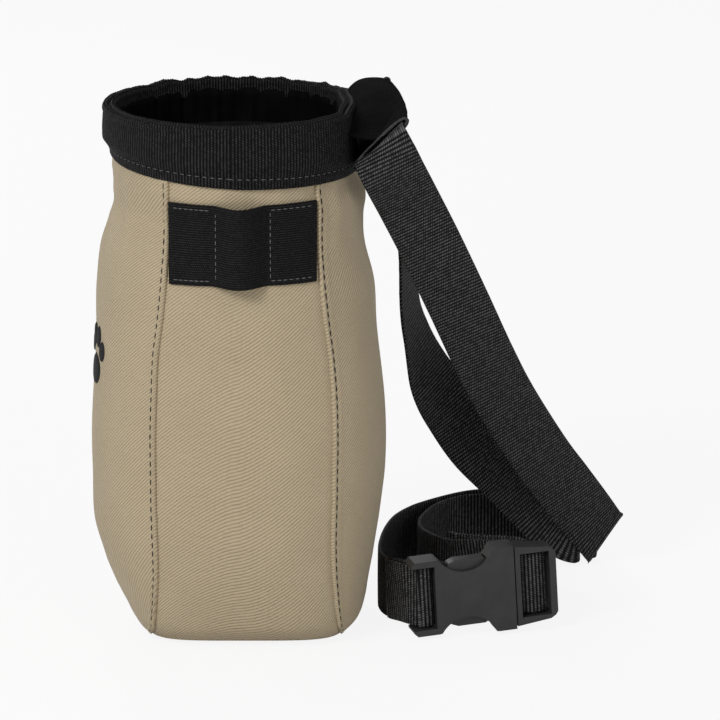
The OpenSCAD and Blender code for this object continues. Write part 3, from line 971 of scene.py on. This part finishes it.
FRONT_FOLD = [fold_stop(a) for a in (0, 30, 60, 90)]
FRONT_FLOOR = [
    [-82.5, 144.5], [-91.5, 138.5], [-97, 129], [-99, 118], [-98, 104], [-93.5, 90], [-83, 77],
    [-72, 67.3], [-59, 60.5], [-43.5, 56.5], [-26, 54.2], [-10, 53.6],
]
TO_SOCKET = [[2.2, 56.3, 0.15], [8.5, 60.6, 0.5], [14.1, 65.1, 0.8], [19, 68.7, 1]]
FROM_SOCKET = [[21.7, 64.1, 1], [17.6, 61.3, 0.9], [13.4, 58.4, 0.75], [10.7, 56.7, 0.65]]
FRONT_ROUTE = (
    [beside(EXIT_RIGHT, p) for p in FRONT_TOP]
    + [hung(p, DROP_RIGHT) for p in FRONT_HANG]
    + FRONT_FOLD
    + [on_floor(p) for p in FRONT_FLOOR]
    + [rising(p, SOCKET_BAR) for p in TO_SOCKET]
    + [round_bar(BAR_AT + 0.8, 0, a, 0.7) for a in range(124, -57, -36)]
    + [rising(p, SOCKET_BAR) for p in FROM_SOCKET]
)

REAR_TOP = [
    [-RUN_GAP, 0, 0, *LEFT_ACROSS], [-3, 0, 0, *LEFT_ACROSS], [-6, 0.3, -0.4, *LEFT_ACROSS],
    [-9.5, 1.5, -5, -0.3, 0.5, 0.8], [-11.5, 4.5, -13, -0.7, 0.5, 0.5],
]
REAR_HANG = [
    [-37, 61.5, 166, -0.82, 0.5, 0.15], [-38.5, 65.2, 138, -0.93, 0.34, 0.1],
    [-40, 65.6, 109, -0.95, 0.28, 0.1], [-44, 69, 91, -0.9, 0.4, 0.12],
    [-49, 74.7, 74, -0.7, 0.67, 0.23], [-55, 84, 58, -0.3, 0.85, 0.45],
    [-60, 94.6, 41, 0, 0.78, 0.63], [-65, 106, 28, 0, 0.72, 0.69],
    [-68.5, 116, 16.5, 0, 0.7, 0.72], [-69.5, 123, 9, 0, 0.62, 0.78],
    [-69.8, 129.3, 4, 0.05, 0.45, 0.9], [-70.2, 133.4, 1.2, 0.05, 0.2, 1],
    [-72.2, 136.4, 0, 0, 0, 1], [-76, 136.6, 0, 0, 0, 1],
]
REAR_FLOOR = [
    [-80, 131.5], [-84.5, 124.6], [-88, 115.5], [-89.5, 103], [-86.5, 88], [-75, 77.5],
    [-60, 71.8], [-50, 70], [-40, 71.2], [-30, 76.4], [-22.8, 83.8],
]
REAR_RISE = [
    [-17, 93.1, 0.3], [-10.5, 102.2, 0.6], [-4.6, 107.9, 0.9], [-1.1, 109.8, 1], [1.9, 110.4, 1],
    [4.5, 110.6, 1],
]
TAIL = [
    [-0.2, 115.2, 1], [-6.4, 111.6, 1], [-12.7, 104.7, 0.8], [-19.5, 94.8, 0.5],
    [-24.4, 87.3, 0.35], [-26.3, 84.6, 0.35], [-28.1, 81.9, 0.35],
]
REAR_ROUTE = (
    [beside(EXIT_LEFT, p) for p in REAR_TOP]
    + [hung(p, DROP_LEFT) for p in REAR_HANG]
    + [on_floor(p) for p in REAR_FLOOR]
    + [rising(p, PLUG_BAR) for p in REAR_RISE]
    + [at_buckle(MIDDLE_BAR - 5, 5.9), at_buckle(MIDDLE_BAR - 4.4, 2.4)]
    + [round_bar(MIDDLE_BAR + 0.3, 0.2, a, 2.6) for a in range(-72, 109, 36)]
    + [at_buckle(MIDDLE_BAR + 5.4, 3.4), at_buckle(MIDDLE_BAR + 3.6, 7.4)]
    + [rising(p, PLUG_BAR) for p in TAIL]
)
REAR_SPLIT = len(REAR_TOP) + len(REAR_HANG) + 6


def ribbon(name, stops, start, end):
    """Webbing along a route between two of its stops, with rounded edges and closed ends."""
    per_stop, w, t, cupped = 12, BELT_W, 1.25, 0.25
    count = int((end - start) * per_stop)
    last = len(stops) - 1
    wide, side = 14, 4
    outline = [(mix(-0.5, 0.5, i / wide) * (w - t), -t / 2) for i in range(wide)]
    outline += [
        ((w - t) / 2 + t / 2 * sin(pi * i / side), -t / 2 * cos(pi * i / side)) for i in range(side)
    ]
    outline += [(mix(0.5, -0.5, i / wide) * (w - t), t / 2) for i in range(wide)]
    outline += [
        (-(w - t) / 2 - t / 2 * sin(pi * i / side), t / 2 * cos(pi * i / side)) for i in range(side)
    ]
    outline.append(outline[0])
    frames, runs = [], [0.0]
    for i in range(count + 1):
        s = start + i / per_stop
        here = curve(stops, s)
        ahead, behind = curve(stops, min(s + 0.03, last)), curve(stops, max(s - 0.03, 0))
        along = (Vector(ahead[:3]) - Vector(behind[:3])).normalized()
        rough = Vector(here[3:6])
        square = rough - along * rough.dot(along)
        slanted = along * rough.dot(along) * max(0.0, min(1.0, here[6]))
        across = (square + slanted) / square.length
        frames.append((Vector(here[:3]), across, along.cross(square.normalized())))
        if i:
            runs.append(runs[-1] + (frames[-1][0] - frames[-2][0]).length)

    def place(i, j):
        at, across, out = frames[j]
        x, y = outline[i]
        run = runs[j]
        cup = cupped * wobble(run / 40, 0, 0, 31) * (1 - (2 * x / w) ** 2)
        edge = 0.12 * wobble(run / 3, 1 if x > 0 else -1, 0, 32) * ease(0.4, 0.5, abs(x) / w)
        return at + across * (x * (1 + 0.01 * edge)) + out * (y * (1 + edge) + cup)

    def chart(i, j):
        return outline[i][0] + (w + 2 if i > wide + side // 2 else 0), runs[j]

    return lay(name, len(outline) - 1, count, place, chart, closed=True, capped=True)


def vector_m(p):
    return tuple(v * MM for v in p)


front = ribbon("belt_front_webbing", FRONT_ROUTE, 0, len(FRONT_ROUTE) - 1)
front.data.materials.append(BELT)
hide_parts("belt_front_strip", "belt_outer_loop", "socket_strap_wrap")
vector_m(EXIT_RIGHT)
vector_m(EXIT_RIGHT + belt_out(SLEEVE_HALF) * 25)
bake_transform(front)

rear = ribbon("belt_rear_webbing", REAR_ROUTE, 0, REAR_SPLIT)
rear.data.materials.append(BELT)
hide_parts("belt_rear_strip")
vector_m(EXIT_LEFT)
vector_m(EXIT_LEFT + belt_out(-SLEEVE_HALF) * 22)
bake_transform(rear)

inner = ribbon("belt_inner_webbing", REAR_ROUTE, REAR_SPLIT, len(REAR_ROUTE) - 1)
inner.data.materials.append(BELT)
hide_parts("belt_inner_loop", "plug_strap_wrap", "belt_tail", "tail_hem")
vector_m((-48, 70, 17))
vector_m((-2, 110, 17))
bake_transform(inner)

def sleeve_frame(x):
    """The sleeve's middle, its two directions: it hangs straighter than the round rim."""
    at = belt_middle(x)
    ends = mix(EXIT_LEFT.y, EXIT_RIGHT.y, (x + SLEEVE_HALF) / (2 * SLEEVE_HALF))
    at.y = ends + (at.y - ends) * 0.3
    return at, belt_across(x), belt_out(x)


core = ribbon(
    "belt_core_webbing",
    [[*sleeve_frame(x)[0], *belt_across(x), 0] for x in range(SLEEVE_HALF, -SLEEVE_HALF - 1, -5)],
    0, 10,
)
finish(core, BELT, "belt", "pouch", "belt_in_sleeve")


def cut_edge(name, stops, body):
    """The singed yarn ends where a strip stops."""
    last, before = curve(stops, len(stops) - 1), curve(stops, len(stops) - 1.1)
    at, across = Vector(last[:3]), Vector(last[3:6]).normalized()
    along = (at - Vector(before[:3])).normalized()
    places = [
        (at + across * BELT_W * (i / 34 - 0.5) * 0.96 + along * 0.1, along, across.cross(along))
        for i in range(35)
    ]
    return stitches(name, GREY_THREAD, "belt", body, places, 0.9, 0.62, 1.5)


cut_edge("socket_wrap_cut_edge", FRONT_ROUTE, "belt")


# ---- The sleeve that holds the belt to the rim ----


def make_sleeve():
    """A flat tube of cloth round the belt, sewn to the rim along its upper and lower edges."""
    nx, around = 90, 48
    half_w, half_t = SLEEVE_W / 2, SLEEVE_THICK / 2

    def place(i, j):
        x = mix(-SLEEVE_HALF - 0.3, SLEEVE_HALF + 0.3, i / nx)
        at, across, out = sleeve_frame(x)
        a = 2 * pi * j / around
        w = half_w * signed_power(sin(a), 0.6)
        t = half_t * signed_power(cos(a), 0.75)
        end = ease(0.75, 1, abs(x) / SLEEVE_HALF)
        crease_out = 0.5 * wobble(x / 9, w / 7, t / 3, 41) * (1 - end)
        ridge = (0.35 * wobble(x / 4, w / 9, 1, 42)) * (1 - end)
        side = 1 if t > 0 else -1
        return at + across * w + out * (t + side * (crease_out + ridge) * 0.6)

    def chart(i, j):
        return 70 * j / around, 50 * i / nx

    return lay("sleeve_cloth_tube", nx, around, place, chart, closed=True)


finish(thicken(make_sleeve(), 0.7, -1), SLEEVE, "webbing", "pouch", "belt_sleeve")


def make_gather():
    """The cloth between the rim's top and the sleeve's, rolled over towards the far end."""
    nx, ny = 70, 26
    near, far = SLEEVE_HALF - 0.5, -SLEEVE_HALF - 0.5

    def place(i, j):
        x, k = mix(far, near, i / nx), j / ny
        at, across, _ = sleeve_frame(x)
        top = at + across * (SLEEVE_W / 2 - 0.6)
        rim_y = sqrt(MOUTH_R**2 - x * x) - MOUTH_SHIFT
        pressed = flattened(degrees(atan2(rim_y + MOUTH_SHIFT, x)), 205)
        low = Vector((x, rim_y - 1.2 + pressed, 210.5 - 5 * ease(4, near, x)))
        rise = 3.4 * ease(8, -14, x) - 5.5 * ease(-8, near, x)
        roll = 0.6 * wobble(x / 8, k * 2.5, 0, 45)
        return low + (top - low) * k + Vector((0, -0.55, 0.84)) * (rise + roll) * sin(pi * k) ** 0.8

    return lay("sleeve_gather_cloth", nx, ny, place, lambda i, j: (22 * j / ny, 41 * i / nx))


finish(thicken(make_gather(), 0.8, -1), SLEEVE, "webbing", "pouch")


def make_hem(side):
    """The rolled edge round the sleeve's mouth."""
    x = side * (SLEEVE_HALF - 0.4)
    at, across, out = sleeve_frame(x)
    around, tube = 120, 10

    def place(i, j):
        a = 2 * pi * i / around
        w = (SLEEVE_W / 2 - 0.3) * signed_power(sin(a), 0.6)
        t = (SLEEVE_THICK / 2 - 0.2) * signed_power(cos(a), 0.75)
        b = 2 * pi * j / tube
        rolled = 0.9 * ease(0.45, 1, sin(a)) * max(0.0, cos(a))
        fat = 0.75 + 0.12 * wobble(i / 9, 0, 0, 43) + rolled
        radial = (across * sin(a) + out * cos(a)).normalized()
        outwards = Vector((side * fat * sin(b), 0, 0))
        return at + across * w + out * t + radial * fat * cos(b) + outwards

    def chart(i, j):
        return 66 * i / around, 5 * j / tube

    name = "sleeve_hem_right" if side > 0 else "sleeve_hem_left"
    return lay(name, around, tube, place, chart, closed=True)


# The hems carry the painted highlight of the sleeve's rolled edges.
for side in (1, -1):
    finish(make_hem(side), HEM_HIGHLIGHT, "webbing", "pouch")


# ---- The buckle ----


def moulded(node, width):
    """A copy of a packed buckle part, with its edges rounded."""
    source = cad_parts[node]
    bm = bmesh.new()
    bm.from_mesh(source.data)
    bmesh.ops.remove_doubles(bm, verts=bm.verts, dist=2e-6)
    bmesh.ops.dissolve_limit(
        bm, angle_limit=radians(1.0), verts=bm.verts, edges=bm.edges, delimit={"NORMAL"}
    )
    bmesh.ops.recalc_face_normals(bm, faces=bm.faces)
    piece = to_object(bm, node + "_moulded")
    rounding = piece.modifiers.new("rounding", "BEVEL")
    rounding.width = width * MM
    rounding.segments = 3
    rounding.limit_method = "ANGLE"
    rounding.angle_limit = radians(28)
    rounding.harden_normals = False
    for face in piece.data.polygons:
        face.use_smooth = True
    tidy = piece.modifiers.new("weighted", "WEIGHTED_NORMAL")
    tidy.keep_sharp = False
    return piece


for node, body, width in (
    ("buckle_socket", "belt", 0.7), ("buckle_plug", "plug", 0.6),
    ("upper_release_arm", "upper_arm", 0.5), ("lower_release_arm", "lower_arm", 0.5),
):
    finish(moulded(node, width), PLASTIC, "buckle", body, node)


# ---- Stage, light and camera ----


def stage_material():
    white = bpy.data.materials.new("pale_floor")
    white.use_nodes = True
    tree = white.node_tree
    tree.nodes.clear()
    out = tree.nodes.new("ShaderNodeOutputMaterial")
    paint = tree.nodes.new("ShaderNodeBsdfDiffuse")
    paint.inputs["Color"].default_value = (0.8, 0.8, 0.8, 1)
    glow = tree.nodes.new("ShaderNodeEmission")
    glow.inputs["Color"].default_value = (1, 1, 1, 1)
    glow.inputs["Strength"].default_value = 1.0
    seen = tree.nodes.new("ShaderNodeLightPath")
    share = tree.nodes.new("ShaderNodeMath")
    share.operation = "MULTIPLY"
    share.inputs[1].default_value = 0.88
    blend = tree.nodes.new("ShaderNodeMixShader")
    tree.links.new(seen.outputs["Is Camera Ray"], share.inputs[0])
    tree.links.new(share.outputs[0], blend.inputs[0])
    tree.links.new(paint.outputs[0], blend.inputs[1])
    tree.links.new(glow.outputs[0], blend.inputs[2])
    tree.links.new(blend.outputs[0], out.inputs[0])
    return white


floor_mesh = bmesh.new()
bmesh.ops.create_grid(floor_mesh, x_segments=1, y_segments=1, size=6)
stage = to_object(floor_mesh, "floor")
stage.data.materials.append(stage_material())
stage.location = (0, 0, cad_low[2] - 0.0002)

world = bpy.data.worlds.new("studio")
bpy.context.scene.world = world
world.use_nodes = True
tree = world.node_tree
ambient = tree.nodes["Background"]
ambient.inputs["Color"].default_value = (1, 1, 1, 1)
ambient.inputs["Strength"].default_value = 0.36
backdrop = tree.nodes.new("ShaderNodeBackground")
backdrop.inputs["Color"].default_value = (1, 1, 1, 1)
path = tree.nodes.new("ShaderNodeLightPath")
choose = tree.nodes.new("ShaderNodeMixShader")
tree.links.new(path.outputs["Is Camera Ray"], choose.inputs[0])
tree.links.new(ambient.outputs[0], choose.inputs[1])
tree.links.new(backdrop.outputs[0], choose.inputs[2])
tree.links.new(choose.outputs[0], tree.nodes["World Output"].inputs["Surface"])


def lamp(name, at, target, size, power):
    data = bpy.data.lights.new(name, "AREA")
    data.shape, data.size, data.energy = "DISK", size, power
    made = bpy.data.objects.new(name, data)
    bpy.context.scene.collection.objects.link(made)
    made.location = at
    made.rotation_euler = (Vector(target) - Vector(at)).to_track_quat("-Z", "Y").to_euler()


MIDDLE = (0, 0.03, 0.11)
lamp("key", (1.3, -0.9, 1.2), MIDDLE, 0.7, 17)
lamp("fill", (1.6, 1.0, 0.5), MIDDLE, 1.0, 4.5)
lamp("back", (-1.2, -0.4, 1.1), MIDDLE, 0.8, 6)

camera_data = bpy.data.cameras.new("camera")
camera_data.sensor_width = 36
camera_data.lens = 258.75
camera = bpy.data.objects.new("camera", camera_data)
bpy.context.scene.collection.objects.link(camera)
camera.location = (2.0, 0.0456, 0.640)
aim = Vector((0, 0.0456, 0.107)) - camera.location
camera.rotation_euler = aim.to_track_quat("-Z", "Y").to_euler()
bpy.context.scene.camera = camera
bpy.context.scene.view_settings.view_transform = "Standard"
